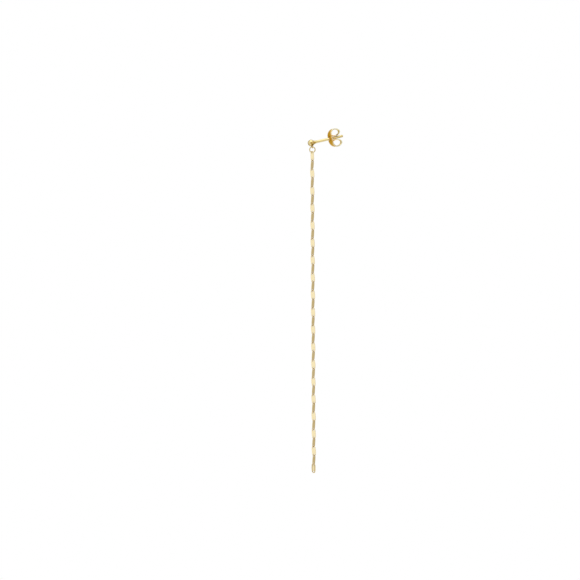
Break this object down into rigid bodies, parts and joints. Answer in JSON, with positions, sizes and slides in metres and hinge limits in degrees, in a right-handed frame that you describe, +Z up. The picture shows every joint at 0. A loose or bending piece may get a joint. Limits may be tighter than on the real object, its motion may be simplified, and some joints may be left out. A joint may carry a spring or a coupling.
{
  "type": "dangle earring",
  "caption": "Long drop earring: ball stud with post and butterfly back, a jump ring and a hanging chain of flat oval links.",
  "frame": {"origin": "point on the ear post's axis at the back of the ball, where it passes into the ear lobe", "axes": "+Z up, +Y from the ball towards the butterfly back, +X sideways; the chain hangs along -Z"},
  "size_m": [0.0052, 0.0109, 0.1035],
  "materials": {
    "polished_gold": "polished",
    "chain_gold": "mirror polished"
  },
  "bodies": {
    "earring": {"ball_stud": "polished_gold", "jump_ring": "polished_gold", "link_01": "chain_gold", "link_02": "chain_gold", "link_03": "chain_gold", "link_04": "chain_gold", "link_05": "chain_gold", "link_06": "chain_gold", "link_07": "chain_gold", "link_08": "chain_gold", "link_09": "chain_gold", "link_10": "chain_gold", "link_11": "chain_gold", "link_12": "chain_gold", "link_13": "chain_gold", "link_14": "chain_gold", "link_15": "chain_gold", "link_16": "chain_gold", "link_17": "chain_gold", "link_18": "chain_gold", "link_19": "chain_gold", "link_20": "chain_gold", "link_21": "chain_gold", "link_22": "chain_gold", "link_23": "chain_gold", "link_24": "chain_gold", "link_25": "chain_gold", "link_26": "chain_gold", "link_27": "chain_gold", "link_28": "chain_gold", "link_29": "chain_gold", "link_30": "chain_gold", "link_31": "chain_gold", "link_32": "chain_gold", "link_33": "chain_gold", "link_34": "chain_gold", "link_35": "chain_gold", "link_36": "chain_gold", "link_37": "chain_gold"},
    "butterfly_back": {"ear_back": "polished_gold"}
  },
  "joints": [
    {"name": "back_slide", "type": "slide", "parent": "earring", "child": "butterfly_back", "axis": [0, 0.977, 0.213], "range_m": [-0.0038, 0.006]}
  ]
}
